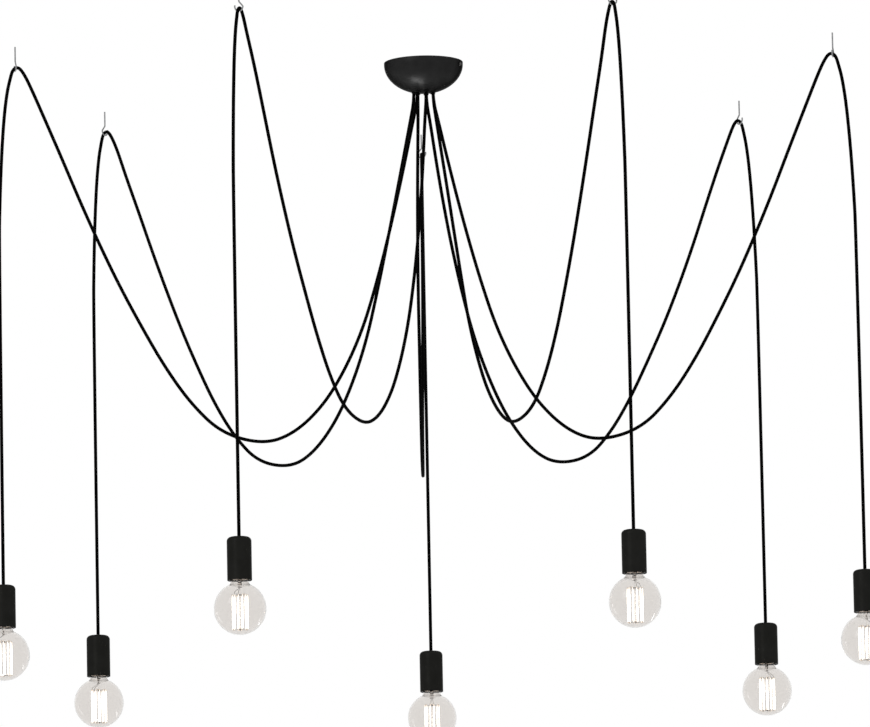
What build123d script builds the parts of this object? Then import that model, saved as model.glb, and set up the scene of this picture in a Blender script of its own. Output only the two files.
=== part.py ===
"""Spider pendant light: a domed ceiling rose, seven looped cords on ceiling hooks, seven globe lamps.

The ceiling is the plane z = 0 and the origin is the middle of the ceiling bracket. Arm 0 points along +Y
and the arms are counted clockwise, seen from above. Lengths are millimetres and angles are degrees.
"""

import os
from math import asin, cos, degrees, pi, radians, sin, sqrt, tan

from build123d import *

os.makedirs("parts", exist_ok=True)

# Layout
arm_count = 7
hook_circle_radius = 785.0
cord_circle_radius = 18.5
cord_hole_turn_share = -0.75
cover_top_drop = 1008.8
running_gap = 0.1
overrun = 5.0

# Cord: each free stretch is a list of hand-chosen points
cord_diameter = 6.4
core_diameter = 2.0
core_spread = 1.3
bend_share = 0.45
swing_gap = 1.0

# Cord route in plan from the cord's hole towards its hook, and height
rose_route = [
    (0, -36),
    (0, -70),
    (10, -112),
    (25, -181),
    (44, -263),
    (65, -347),
    (88, -430),
    (114, -512),
    (149, -591),
    (193, -664),
    (250, -721),
    (309, -742),
    (385, -720),
    (442, -661),
    (492, -592),
    (537, -518),
    (578, -441),
    (615, -363),
    (650, -284),
    (683, -204),
    (717, -124),
]
# How much of its arm's own sway each of those points takes
sway_shares = [0, 0, 0.1, 0.4, 0.7, 0.9, 1, 1, 1, 1, 1, 0.9, 0.9, 0.9, 0.85, 0.7, 0.5, 0.35, 0.25, 0.2, 0.15]
# How much of its arm's own lift each of those points takes
lift_shares = [0, 0, 0, 0, 0, 0, 0, 0, 0.2, 0.5, 1, 1, 1, 0.5, 0.2, 0, 0, 0, 0, 0, 0]
# Cord route over the hook and down, out from the hook's shank, and height
hook_route = [(-31, -71), (-17, -41.8), (-6, -27.8), (5, -32.8)]
swing_point = (7.4, -41.5)
drop_route = [(11, -54.5), (16.5, -78), (23, -127), (28.8, -206), (32.6, -288), (35.2, -372)]
# How far each arm's loop sways along its own line and sideways, and how much higher its bottom hangs
loop_sway = [0, -11, 0, 20, -20, 0, 12]
loop_side_sway = [-9, 0, 0, 0, 0, 0, 0]
loop_lift = [0, 2, 3, 0, 8, 6, 5]

# Ceiling rose cover
rose_radius = 74.5
rose_depth = 58.0
rose_rim = 3.2
rose_wall = 1.2
side_screw_turn = -24.0
side_screw_height = -9.0

# Ceiling bracket
bracket_thickness = 1.6
bracket_width = 26.0
bracket_side_gap = 6.1
ear_width = 16.0
ear_drop = 15.0
ceiling_hole_radius = 2.25
ceiling_hole_reach = 35.0
supply_inlet_radius = 6.5
earth_screw_inset = 15.2

# Rose screws, M4
screw_radius = 2.0
screw_clearance = 0.3
screw_head_radius = 3.5
screw_head_height = 2.4
screw_head_round = 1.0
screw_slot_width = 0.9
screw_slot_depth = 1.0
screw_grip = 3.0
thread_gap = 0.05

# Cord grips and their lock nuts
grip_neck_radius = 4.1
grip_nose_radius = 4.8
grip_nose_drop = 2.4
grip_nose_round = 0.6
grip_head_radius = 5.5
grip_head_height = 5.0
grip_hole_clearance = 0.2
nut_width = 11.0
nut_sides = 6
nut_height = 4.0

# Junction terminal
terminal_outer_radius = 16.5
terminal_bore_radius = 7.0
terminal_height = 12.0
terminal_seat_gap = 0.2
peg_radius = 1.5
peg_count = 2
bar_inner_radius = 8.5
bar_outer_radius = 14.5
bar_height = 4.0
live_entry_drop = 5.5
neutral_entry_drop = 10.5
terminal_screw_radius = 1.25
terminal_screw_head_radius = 1.9
terminal_screw_head_height = 1.2
terminal_slot = 0.5
terminal_spread = 2.4
insulation_radius = 2.0
core_stop_radius = 9.5
core_stub = 2.0
core_splay_height = 8.0
core_bends = [3.0, 3.0, 1.2]

# Ceiling hook
hook_wire_radius = 1.4
hook_screw_in = 10.0
hook_shank_drop = 18.0
hook_kink_reach = 8.6
hook_kink_drop = 27.8
hook_bowl_half_flat = 5.2
hook_bowl_drop = 35.9
hook_tip_reach = 8.1
hook_tip_drop = 24.6
hook_bend_radii = [4.0, 3.0, 7.5, 7.5, 6.0]

# Lampholder cover
cover_radius = 22.4
cover_length = 79.5
cover_wall = 2.5
cover_shoulder = 8.0
cover_lip_round = 0.8
cord_boss_radius = 6.5
cord_boss_drop = 12.0

# Lampholder
insert_fit_gap = 0.3
insert_lip = 1.0
insert_top_drop = 20.0
mouth_radius = 17.5
mouth_depth = 15.5
shell_wall = 0.4
shell_inner_radius = 13.5
shell_depth = 28.0
contact_width = 5.0
contact_length = 9.0
contact_flat = 4.5
contact_thickness = 0.5
contact_height = 1.2
core_socket_clearance = 0.2
core_socket_depth = 4.0

# Bulb
globe_diameter = 95.0
globe_centre_drop = 51.0
glass_wall = 1.0
neck_radius = 16.8
neck_fillet = 8.0
neck_shoulder_drop = 5.5
cap_joint_depth = 14.0
cap_seat = 4.0
cap_shell_length = 24.0
cap_root_radius = 12.5
cap_bore_radius = 12.05
cap_skirt_radius = 13.0
cap_skirt_height = 3.0
thread_pitch = 3.54
thread_count = 5
thread_wire_radius = 1.0
thread_wire_centre = 12.15
cap_insulator_height = 2.5
cap_insulator_top_radius = 5.0
cap_button_radius = 4.5
cap_button_height = 1.5

# Bulb mount: glass stem, wire spiders and filament
stem_flare_radius = 10.7
stem_flare_height = 1.5
stem_waist_radius = 3.6
stem_waist_drop = 16.0
stem_press_drop = 27.0
stem_rod_radius = 1.1
lead_radius = 0.4
lead_reach = 2.2
lead_stub = 2.0
lead_drop = 5.0
lead_bend = 0.8
spider_wire_radius = 0.3
spider_hub_radius = 1.8
spider_hub_height = 2.0
filament_radius = 0.45
filament_cage_radius = 15.0
filament_top_drop = 22.7
filament_bottom_drop = 89.0
filament_strands = 12
filament_bend = 2.0

# Worked out from the sizes above
arm_step = 360 / arm_count
cord_radius = cord_diameter / 2
core_radius = core_diameter / 2
mouth_drop = cover_top_drop + cover_length
lamp_reach = drop_route[-1][0]
cap_joint_drop = mouth_drop - cap_joint_depth
strand_angle = 360 / filament_strands
rose_plane = Plane.XY.rotated((0, 0, side_screw_turn))
bracket_reach = rose_radius - rose_wall - bracket_side_gap
earth_screw_reach = bracket_reach - earth_screw_inset
bar_middle_radius = (bar_inner_radius + bar_outer_radius) / 2
grip_start_angle = 90 - cord_hole_turn_share * arm_step


def turned(distance, sideways, angle, height):
    """The point at this distance along a clockwise angle from +Y, and this far to its right."""
    turn = radians(angle)
    return Vector(
        distance * sin(turn) + sideways * cos(turn),
        distance * cos(turn) - sideways * sin(turn),
        height,
    )


def arm_angle(arm):
    return arm * arm_step


def hole_angle(arm):
    return (arm + cord_hole_turn_share) * arm_step


def hook_point(arm, out, height, sideways=0):
    """A point measured outward from the arm's hook shank."""
    return turned(hook_circle_radius + out, sideways, arm_angle(arm), height)


def loop_point(arm, along, height, sway_share, lift_share):
    """A point of the loop, measured from the arm's cord hole towards its hook."""
    hole = turned(cord_circle_radius, 0, hole_angle(arm), 0)
    line = (hook_point(arm, 0, 0) - hole).normalized()
    sway = loop_sway[arm % len(loop_sway)] * sway_share
    side_sway = loop_side_sway[arm % len(loop_side_sway)] * sway_share
    lift = loop_lift[arm % len(loop_lift)] * lift_share
    return hole + line * (along + sway) + turned(0, side_sway, arm_angle(arm), height + lift)


def lamp_plane(arm):
    """Local x runs outward from the lamp's own axis and local y runs up."""
    side = turned(0, 1, arm_angle(arm), 0)
    return Plane(origin=hook_point(arm, lamp_reach, 0), x_dir=turned(1, 0, arm_angle(arm), 0), z_dir=side)


def lamp_axis(arm):
    return Axis(hook_point(arm, lamp_reach, 0), (0, 0, 1))


def rose_height(radius, inset=0):
    """Height of the rose cover's surface at this radius, the given inset from its outside."""
    share = radius / (rose_radius - inset)
    return -rose_rim - (rose_depth - rose_rim - inset) * sqrt(1 - share**2)


def rose_radius_at(height):
    """Radius of the rose cover's outside at this height."""
    share = (-height - rose_rim) / (rose_depth - rose_rim)
    return rose_radius * sqrt(1 - max(share, 0) ** 2)


def tube(points, radii, radius):
    """A round tube along straight runs joined by tangent arcs."""
    with BuildPart() as piece:
        with BuildLine() as route:
            FilletPolyline(*points, radius=radii)
        with BuildSketch(Plane(origin=route.line @ 0, z_dir=route.line % 0)):
            Circle(radius)
        sweep(path=route.line)
    return piece.part


def corner_radii(points):
    """For each corner, an arc as large as its two runs allow."""
    radii = []
    for before, corner, after in zip(points, points[1:], points[2:]):
        run_in = corner - before
        run_out = after - corner
        turn = radians(run_in.get_angle(run_out))
        radii.append(bend_share * min(run_in.length, run_out.length) / tan(turn / 2))
    return radii


def dome(inset, top=0):
    """The solid inside the rose cover's surface, up to the given height."""
    radius = rose_radius - inset
    bowl = rose_depth - rose_rim - inset
    with BuildPart() as solid:
        with BuildSketch(Plane.XZ):
            with BuildLine():
                EllipticalCenterArc((0, -rose_rim), radius, bowl, start_angle=-90, arc_size=90)
                Polyline((radius, -rose_rim), (radius, top), (0, top), (0, -rose_rim - bowl))
            make_face()
        revolve(axis=Axis.Z)
    return solid.part


def slotted_screw(seat, shank_length, radius, head_radius, head_height, round_radius, slot_width, slot_depth):
    """A screw whose head stands on the seat plane and whose shank runs down through it."""
    with BuildPart() as screw:
        with BuildSketch(seat):
            Circle(head_radius)
        extrude(amount=head_height)
        fillet(screw.edges().group_by(Axis(seat.origin, seat.z_dir))[-1], round_radius)
        with BuildSketch(seat):
            Circle(radius)
        extrude(amount=-shank_length)
        with BuildSketch(seat.offset(head_height)):
            Rectangle(2 * head_radius + overrun, slot_width)
        extrude(amount=-slot_depth, mode=Mode.SUBTRACT)
    return screw.part


def rose_screw(seat, shank_length):
    return slotted_screw(
        seat,
        shank_length,
        screw_radius,
        screw_head_radius,
        screw_head_height,
        screw_head_round,
        screw_slot_width,
        screw_slot_depth,
    )


def write(piece, name):
    piece.label = name
    export_step(piece, f"parts/{name}.step")


# Ceiling rose cover
with BuildPart() as rose_cover:
    add(dome(0))
    add(dome(rose_wall, overrun), mode=Mode.SUBTRACT)
    with PolarLocations(cord_circle_radius, arm_count, start_angle=grip_start_angle):
        Hole(grip_neck_radius + grip_hole_clearance)
    with BuildSketch(Plane(origin=(0, 0, side_screw_height), x_dir=(0, 0, 1), z_dir=rose_plane.x_dir)):
        Circle(screw_radius + screw_clearance)
    extrude(amount=rose_radius + overrun, both=True, mode=Mode.SUBTRACT)
write(rose_cover.part, "rose_cover")

# Ceiling bracket: a flat strip against the ceiling with an ear bent down at each end
with BuildPart() as ceiling_bracket:
    with BuildSketch(rose_plane):
        Rectangle(2 * bracket_reach, bracket_width)
        with Locations((-ceiling_hole_reach, 0), (ceiling_hole_reach, 0)):
            Circle(ceiling_hole_radius, mode=Mode.SUBTRACT)
        Circle(supply_inlet_radius, mode=Mode.SUBTRACT)
        with Locations((-earth_screw_reach, 0)):
            Circle(screw_radius + thread_gap, mode=Mode.SUBTRACT)
        with PolarLocations(bar_middle_radius, peg_count):
            Circle(peg_radius + running_gap, mode=Mode.SUBTRACT)
    extrude(amount=-bracket_thickness)
    with BuildSketch(rose_plane):
        ear_place = bracket_reach - bracket_thickness / 2
        with Locations((-ear_place, 0), (ear_place, 0)):
            Rectangle(bracket_thickness, ear_width)
    extrude(amount=-ear_drop)
    with BuildSketch(Plane(origin=(0, 0, side_screw_height), x_dir=(0, 0, 1), z_dir=rose_plane.x_dir)):
        Circle(screw_radius + thread_gap)
    extrude(amount=bracket_reach + overrun, both=True, mode=Mode.SUBTRACT)
write(ceiling_bracket.part, "ceiling_bracket")

# Two side screws that hold the rose cover, and the earth screw under the strip
screw_seat_reach = rose_radius_at(side_screw_height + screw_head_radius) + running_gap
side_shank = screw_seat_reach - bracket_reach + bracket_thickness + screw_grip
with BuildPart() as rose_screws:
    for side in (-1, 1):
        outward = rose_plane.x_dir * side
        place = outward * screw_seat_reach + Vector(0, 0, side_screw_height)
        add(rose_screw(Plane(origin=place, x_dir=(0, 0, 1), z_dir=outward), side_shank))
    earth_place = rose_plane.x_dir * -earth_screw_reach + Vector(0, 0, -bracket_thickness)
    add(rose_screw(Plane(origin=earth_place, z_dir=(0, 0, -1)), bracket_thickness - running_gap))
write(rose_screws.part, "rose_screws")

# Cord grips: a nose under the dome, a threaded neck through it and a clamping head inside
nut_corner_radius = nut_width / 2 / cos(pi / nut_sides)
nut_seat = rose_height(cord_circle_radius + nut_corner_radius, rose_wall) + running_gap
nose_bottom = rose_height(cord_circle_radius) - grip_nose_drop
head_bottom = nut_seat + nut_height + running_gap
with BuildPart() as cord_grips:
    with BuildSketch(Plane.XY.offset(nose_bottom)):
        with PolarLocations(cord_circle_radius, arm_count, start_angle=grip_start_angle):
            Circle(grip_nose_radius)
    extrude(amount=rose_height(0, rose_wall) - nose_bottom + overrun)
    fillet(cord_grips.edges().group_by(Axis.Z)[0], grip_nose_round)
    add(dome(-running_gap), mode=Mode.SUBTRACT)
    with BuildSketch(Plane.XY.offset(nose_bottom)):
        with PolarLocations(cord_circle_radius, arm_count, start_angle=grip_start_angle):
            Circle(grip_neck_radius)
    extrude(amount=head_bottom - nose_bottom)
    with BuildSketch(Plane.XY.offset(head_bottom)):
        with PolarLocations(cord_circle_radius, arm_count, start_angle=grip_start_angle):
            Circle(grip_head_radius)
    extrude(amount=grip_head_height)
    with BuildSketch(Plane.XY.offset(nose_bottom - overrun)):
        with PolarLocations(cord_circle_radius, arm_count, start_angle=grip_start_angle):
            Circle(cord_radius)
    extrude(amount=head_bottom + grip_head_height - nose_bottom + 2 * overrun, mode=Mode.SUBTRACT)
write(cord_grips.part, "cord_grips")

with BuildPart() as grip_nuts:
    with BuildSketch(Plane.XY.offset(nut_seat)):
        with PolarLocations(cord_circle_radius, arm_count, start_angle=grip_start_angle):
            RegularPolygon(nut_width / 2, nut_sides, major_radius=False)
            Circle(grip_neck_radius + thread_gap, mode=Mode.SUBTRACT)
    extrude(amount=nut_height)
write(grip_nuts.part, "grip_nuts")


def entry_points(arm, side, entry_drop):
    """Route of one core, from the end of its cord's sheath up and into its terminal."""
    angle = hole_angle(arm)
    start = rose_route[0][1]
    return [
        turned(cord_circle_radius, side * core_spread, angle, start),
        turned(cord_circle_radius, side * core_spread, angle, start + core_stub),
        turned(cord_circle_radius, side * terminal_spread, angle, start + core_splay_height),
        turned(cord_circle_radius, side * terminal_spread, angle, -entry_drop),
        turned(core_stop_radius, side * terminal_spread, angle, -entry_drop),
    ]


def radial_bores(side, entry_drop, radius):
    """One rod along each core's last run, to cut its way into the terminal."""
    with BuildPart() as rods:
        for arm in range(arm_count):
            inner = turned(core_stop_radius, side * terminal_spread, hole_angle(arm), -entry_drop)
            with BuildSketch(Plane(origin=inner, z_dir=turned(1, 0, hole_angle(arm), 0))):
                Circle(radius)
            extrude(amount=terminal_outer_radius - core_stop_radius + overrun)
    return rods.part


def upright_bores(side, entry_drop, radius):
    """One rod up each terminal screw's axis, from under the terminal to its core."""
    floor = -terminal_seat_gap - bracket_thickness - terminal_height
    with BuildPart() as rods:
        for arm in range(arm_count):
            with BuildSketch(Plane.XY.offset(floor - overrun)):
                spot = turned(bar_middle_radius, side * terminal_spread, hole_angle(arm), 0)
                with Locations((spot.X, spot.Y)):
                    Circle(radius)
            extrude(amount=-entry_drop - floor + overrun)
    return rods.part


def bar(side, entry_drop):
    """A brass ring with a bore for each core and a threaded hole for each screw."""
    with BuildPart() as ring:
        with BuildSketch(Plane.XY.offset(-entry_drop - bar_height / 2)):
            Circle(bar_outer_radius)
            Circle(bar_inner_radius, mode=Mode.SUBTRACT)
        extrude(amount=bar_height)
        add(radial_bores(side, entry_drop, core_radius + running_gap), mode=Mode.SUBTRACT)
        add(upright_bores(side, entry_drop, terminal_screw_radius + thread_gap), mode=Mode.SUBTRACT)
        if side < 0:
            add(upright_bores(-side, live_entry_drop, insulation_radius), mode=Mode.SUBTRACT)
    return ring.part


# Junction terminal: an insulating ring that holds a live bar above a neutral bar
live_bar = bar(1, live_entry_drop)
neutral_bar = bar(-1, neutral_entry_drop)
terminal_top = -bracket_thickness - terminal_seat_gap
with BuildPart() as terminal_body:
    with BuildSketch(Plane.XY.offset(terminal_top)):
        Circle(terminal_outer_radius)
        Circle(terminal_bore_radius, mode=Mode.SUBTRACT)
    extrude(amount=-terminal_height)
    with BuildSketch(rose_plane.offset(-running_gap)):
        with PolarLocations(bar_middle_radius, peg_count):
            Circle(peg_radius)
    extrude(amount=terminal_top + running_gap)
    add(live_bar, mode=Mode.SUBTRACT)
    add(neutral_bar, mode=Mode.SUBTRACT)
    for side, entry_drop in ((1, live_entry_drop), (-1, neutral_entry_drop)):
        add(radial_bores(side, entry_drop, core_radius + running_gap), mode=Mode.SUBTRACT)
        add(upright_bores(side, entry_drop, terminal_screw_radius + thread_gap), mode=Mode.SUBTRACT)
write(terminal_body.part, "terminal_body")

with BuildPart() as terminal_bars:
    add(live_bar)
    add(neutral_bar)
write(terminal_bars.part, "terminal_bars")

with BuildPart() as terminal_screws:
    for arm in range(arm_count):
        for side, entry_drop in ((1, live_entry_drop), (-1, neutral_entry_drop)):
            seat = terminal_top - terminal_height - running_gap
            spot = turned(bar_middle_radius, side * terminal_spread, hole_angle(arm), seat)
            add(
                slotted_screw(
                    Plane(origin=spot, x_dir=turned(1, 0, hole_angle(arm), 0), z_dir=(0, 0, -1)),
                    -entry_drop - core_radius - running_gap - seat,
                    terminal_screw_radius,
                    terminal_screw_head_radius,
                    terminal_screw_head_height,
                    terminal_slot / 2,
                    terminal_slot,
                    terminal_slot,
                )
            )
write(terminal_screws.part, "terminal_screws")

for name, side, entry_drop in (("live_cores", 1, live_entry_drop), ("neutral_cores", -1, neutral_entry_drop)):
    with BuildPart() as cores:
        for arm in range(arm_count):
            add(tube(entry_points(arm, side, entry_drop), core_bends, core_radius))
    write(cores.part, name)

# Ceiling hooks: a straight shank, a kink to one side and an open bowl below
with BuildPart() as ceiling_hooks:
    for arm in range(arm_count):
        outline = [
            (0, hook_screw_in),
            (0, -hook_shank_drop),
            (-hook_kink_reach, -hook_kink_drop),
            (-hook_bowl_half_flat, -hook_bowl_drop),
            (hook_bowl_half_flat, -hook_bowl_drop),
            (hook_kink_reach, -hook_kink_drop),
            (hook_tip_reach, -hook_tip_drop),
        ]
        corners = [hook_point(arm, 0, height, sideways) for sideways, height in outline]
        add(tube(corners, hook_bend_radii, hook_wire_radius))
write(ceiling_hooks.part, "ceiling_hooks")


def cord_loop(arm):
    """The cord from its grip in the rose, down and up again, and over its hook to the swing point."""
    places = zip(rose_route, sway_shares, lift_shares)
    points = [loop_point(arm, *place, sway_share, lift_share) for place, sway_share, lift_share in places]
    points += [hook_point(arm, *place) for place in hook_route]
    swing = hook_point(arm, *swing_point)
    points.append(swing - (swing - points[-1]).normalized() * (swing_gap / 2))
    return points


def cord_drop(arm):
    """The cord from the swing point to the end of its sheath inside the lampholder cover."""
    first = hook_point(arm, *drop_route[0])
    swing = hook_point(arm, *swing_point)
    points = [swing + (first - swing).normalized() * (swing_gap / 2)]
    points += [hook_point(arm, *place) for place in drop_route]
    points.append(hook_point(arm, lamp_reach, -cover_top_drop - cord_boss_drop))
    return points


def drop_with_cores(arm):
    """The drop's tube with the two bare cores that go on into the lampholder."""
    points = cord_drop(arm)
    sheath_end = points[-1]
    core_length = insert_top_drop - cord_boss_drop + core_socket_depth - core_socket_clearance
    with BuildPart() as drop:
        add(cord_tube(f"cord_drop_{arm + 1}", points))
        with BuildSketch(Plane(origin=sheath_end, x_dir=turned(0, 1, arm_angle(arm), 0), z_dir=(0, 0, -1))):
            with Locations((-core_spread, 0), (core_spread, 0)):
                Circle(core_radius)
        extrude(amount=core_length)
    return drop.part


def holder_cover(arm):
    """A plain cylinder with a rounded shoulder, open below, and a boss that grips the cord."""
    top = -cover_top_drop
    bottom = -mouth_drop
    inner = cover_radius - cover_wall
    inner_shoulder = cover_shoulder - cover_wall
    with BuildPart() as cover:
        with BuildSketch(lamp_plane(arm)):
            with BuildLine():
                Polyline((cord_radius, top), (cover_radius - cover_shoulder, top))
                CenterArc((cover_radius - cover_shoulder, top - cover_shoulder), cover_shoulder, 90, -90)
                Polyline(
                    (cover_radius, top - cover_shoulder),
                    (cover_radius, bottom),
                    (inner, bottom),
                    (inner, top - cover_wall - inner_shoulder),
                )
                CenterArc(
                    (inner - inner_shoulder, top - cover_wall - inner_shoulder), inner_shoulder, 0, 90
                )
                Polyline(
                    (inner - inner_shoulder, top - cover_wall),
                    (cord_boss_radius, top - cover_wall),
                    (cord_boss_radius, top - cord_boss_drop),
                    (cord_radius, top - cord_boss_drop),
                    (cord_radius, top),
                )
            make_face()
        revolve(axis=lamp_axis(arm))
        fillet(cover.edges().group_by(Axis.Z)[0], cover_lip_round)
    return cover.part


def lampholder(arm):
    """The insulating insert with its brass screw shell and centre contact, three solids."""
    lip = -mouth_drop + insert_lip
    top = -cover_top_drop - insert_top_drop
    step = -mouth_drop + mouth_depth
    floor = step + shell_depth
    outer = cover_radius - cover_wall - insert_fit_gap
    shell_outer = shell_inner_radius + shell_wall
    with BuildPart() as holder:
        with BuildSketch(lamp_plane(arm)):
            with BuildLine():
                Polyline(
                    (0, top),
                    (outer, top),
                    (outer, lip),
                    (mouth_radius, lip),
                    (mouth_radius, step),
                    (shell_outer, step),
                    (shell_outer, floor),
                    (0, floor),
                    close=True,
                )
            make_face()
        revolve(axis=lamp_axis(arm))
        centre = hook_point(arm, lamp_reach, top)
        with BuildSketch(Plane(origin=centre, x_dir=turned(0, 1, arm_angle(arm), 0), z_dir=(0, 0, -1))):
            with Locations((-core_spread, 0), (core_spread, 0)):
                Circle(core_radius + core_socket_clearance)
        extrude(amount=core_socket_depth, mode=Mode.SUBTRACT)
    with BuildPart() as shell:
        with BuildSketch(Plane(origin=hook_point(arm, lamp_reach, step))):
            Circle(shell_outer - thread_gap)
            Circle(shell_inner_radius, mode=Mode.SUBTRACT)
        extrude(amount=shell_depth - running_gap)
    with BuildPart() as contact:
        with BuildSketch(lamp_plane(arm)):
            with BuildLine():
                Polyline(
                    (-contact_length / 2, floor - running_gap),
                    (-contact_length / 2, floor - running_gap - contact_thickness),
                    (-contact_flat / 2, floor - running_gap - contact_height),
                    (contact_flat / 2, floor - running_gap - contact_height),
                    (contact_length / 2, floor - running_gap - contact_thickness),
                    (contact_length / 2, floor - running_gap),
                    close=True,
                )
            make_face()
        extrude(amount=contact_width / 2, both=True)
    return Compound(children=[holder.part, shell.part, contact.part])


def bulb_cap(arm):
    """The threaded metal cap with its insulator and centre button, in one solid of revolution."""
    joint = -cap_joint_drop
    shell_top = joint + cap_shell_length
    insulator_top = shell_top + cap_insulator_height
    first_thread = joint + cap_skirt_height + thread_pitch
    with BuildPart() as cap:
        with BuildSketch(lamp_plane(arm)):
            with BuildLine():
                Polyline(
                    (0, insulator_top + cap_button_height),
                    (cap_button_radius, insulator_top + cap_button_height),
                    (cap_button_radius, insulator_top),
                    (cap_insulator_top_radius, insulator_top),
                    (cap_root_radius, shell_top),
                    (cap_root_radius, joint + cap_skirt_height),
                    (cap_skirt_radius, joint + cap_skirt_height),
                    (cap_skirt_radius, joint),
                    (0, joint),
                    close=True,
                )
            make_face()
            thread_heights = [first_thread + turn * thread_pitch for turn in range(thread_count)]
            with Locations(*((thread_wire_centre, height) for height in thread_heights)):
                Circle(thread_wire_radius)
            with BuildLine():
                Polyline(
                    (0, shell_top),
                    (cap_bore_radius, shell_top),
                    (cap_bore_radius, joint),
                    (0, joint),
                    close=True,
                )
            make_face(mode=Mode.SUBTRACT)
        revolve(axis=lamp_axis(arm))
    return cap.part


def glass_volume(arm, inset):
    """The bulb's outer surface moved in by the inset, as a solid with an open-ended neck."""
    centre = -mouth_drop - globe_centre_drop
    globe = globe_diameter / 2 - inset
    neck = neck_radius - inset
    seat = cap_bore_radius - running_gap - inset
    arc = neck_fillet + inset
    joint = -cap_joint_drop
    arc_reach = neck + arc
    arc_height = centre + sqrt((globe + arc) ** 2 - arc_reach**2)
    touch_angle = degrees(asin(arc_reach / (globe + arc)))
    touch = Vector(0, centre) + Vector(0, globe).rotate(Axis.Z, -touch_angle)
    mid = Vector(arc_reach, arc_height) + Vector(-arc, 0).rotate(Axis.Z, (90 - touch_angle) / 2)
    with BuildPart() as volume:
        with BuildSketch(lamp_plane(arm)):
            with BuildLine():
                Polyline(
                    (0, joint + cap_seat),
                    (seat, joint + cap_seat),
                    (seat, joint - inset),
                    (neck, joint - neck_shoulder_drop),
                    (neck, arc_height),
                )
                ThreePointArc((neck, arc_height), mid, touch)
                CenterArc((0, centre), globe, 90 - touch_angle, touch_angle - 180)
                Line((0, centre - globe), (0, joint + cap_seat))
            make_face()
        revolve(axis=lamp_axis(arm))
    return volume.part


def bulb_glass(arm):
    """A clear globe with a short neck, blown from one wall of glass."""
    with BuildPart() as glass:
        add(glass_volume(arm, 0))
        add(glass_volume(arm, glass_wall), mode=Mode.SUBTRACT)
    return glass.part


def spider(arm, height, first_angle):
    """A hub on the stem's rod with one support wire for each hairpin of the filament."""
    wires = filament_strands // 2
    tip = filament_cage_radius * cos(radians(180 / filament_strands)) - filament_radius - running_gap
    plane = Plane(origin=hook_point(arm, lamp_reach, height), x_dir=turned(1, 0, arm_angle(arm), 0))
    with BuildPart() as hub:
        with BuildSketch(plane.offset(-spider_hub_height / 2)):
            Circle(spider_hub_radius)
        extrude(amount=spider_hub_height)
        for wire in range(wires):
            reach = plane.rotated((0, 0, first_angle + wire * 360 / wires)).x_dir
            with BuildSketch(Plane(origin=plane.origin, z_dir=reach)):
                Circle(spider_wire_radius)
            extrude(amount=tip)
        with BuildSketch(plane.offset(-spider_hub_height / 2)):
            Circle(stem_rod_radius + thread_gap)
        extrude(amount=spider_hub_height, mode=Mode.SUBTRACT)
    return hub.part


def filament(arm):
    """Upright strands round a cage, joined in turn below and above, as one wire."""
    centre = hook_point(arm, lamp_reach, 0)
    ends = (-mouth_drop - filament_top_drop, -mouth_drop - filament_bottom_drop)
    points = []
    for strand in range(filament_strands):
        angle = arm_angle(arm) + (strand + 0.5) * strand_angle
        order = (0, 1) if strand % 2 == 0 else (1, 0)
        points += [centre + turned(filament_cage_radius, 0, angle, ends[end]) for end in order]
    return tube(points, [filament_bend] * (len(points) - 2), filament_radius)


def lead_wire(arm, side):
    """The wire from the stem's press to one end of the filament."""
    centre = hook_point(arm, lamp_reach, 0)
    angle = arm_angle(arm) + side * strand_angle / 2
    press = -cap_joint_drop - stem_press_drop
    top = -mouth_drop - filament_top_drop
    points = [
        centre + turned(lead_reach, side * lead_reach / 2, arm_angle(arm), press),
        centre + turned(lead_reach, side * lead_reach / 2, arm_angle(arm), press - lead_stub),
        centre + turned(filament_cage_radius, 0, angle, top + lead_drop),
        centre + turned(filament_cage_radius, 0, angle, top),
    ]
    return tube(points, [lead_bend] * (len(points) - 2), lead_radius)


def bulb_mount(arm):
    """The glass stem, its wire spiders, the leads and the filament, as separate solids of one mount."""
    joint = -cap_joint_drop
    press = joint - stem_press_drop
    with BuildPart() as stem:
        with BuildSketch(lamp_plane(arm)):
            with BuildLine():
                Polyline(
                    (0, joint + stem_flare_height),
                    (stem_flare_radius, joint + stem_flare_height),
                    (stem_flare_radius, joint),
                    (stem_waist_radius, joint - stem_waist_drop),
                    (stem_waist_radius, press),
                    (stem_rod_radius, press),
                    (stem_rod_radius, -mouth_drop - filament_bottom_drop - spider_hub_height),
                    (0, -mouth_drop - filament_bottom_drop - spider_hub_height),
                    close=True,
                )
            make_face()
        revolve(axis=lamp_axis(arm))
    upper = spider(arm, -mouth_drop - filament_top_drop, 0)
    lower = spider(arm, -mouth_drop - filament_bottom_drop, strand_angle)
    leads = [lead_wire(arm, side) for side in (-1, 1)]
    return Compound(children=[stem.part, upper, lower, filament(arm), *leads])


def cord_tube(name, points):
    """The sheath along these points. Its volume is printed as a share of its section times its length."""
    radii = corner_radii(points)
    sheath = tube(points, radii, cord_radius)
    with BuildLine() as route:
        FilletPolyline(*points, radius=radii)
    length = sum(edge.length for edge in route.edges())
    share = sheath.volume / (pi * cord_radius**2 * length)
    print(name, f"length {length:.0f} volume share {share:.4f}")
    print("radii", [round(radius) for radius in radii])
    return sheath


for arm in range(arm_count):
    number = arm + 1
    write(cord_tube(f"cord_loop_{number}", cord_loop(arm)), f"cord_loop_{number}")
    write(drop_with_cores(arm), f"cord_drop_{number}")
    write(holder_cover(arm), f"holder_cover_{number}")
    write(lampholder(arm), f"lampholder_{number}")
    write(bulb_cap(arm), f"bulb_cap_{number}")
    write(bulb_glass(arm), f"bulb_glass_{number}")
    write(bulb_mount(arm), f"bulb_mount_{number}")
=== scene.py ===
"""Spider pendant light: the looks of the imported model. Lengths are metres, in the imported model's own frame.

The ceiling is the plane z = 0. Arm 0 points along +Y and the arms are counted clockwise, seen from above.
"""

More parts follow.
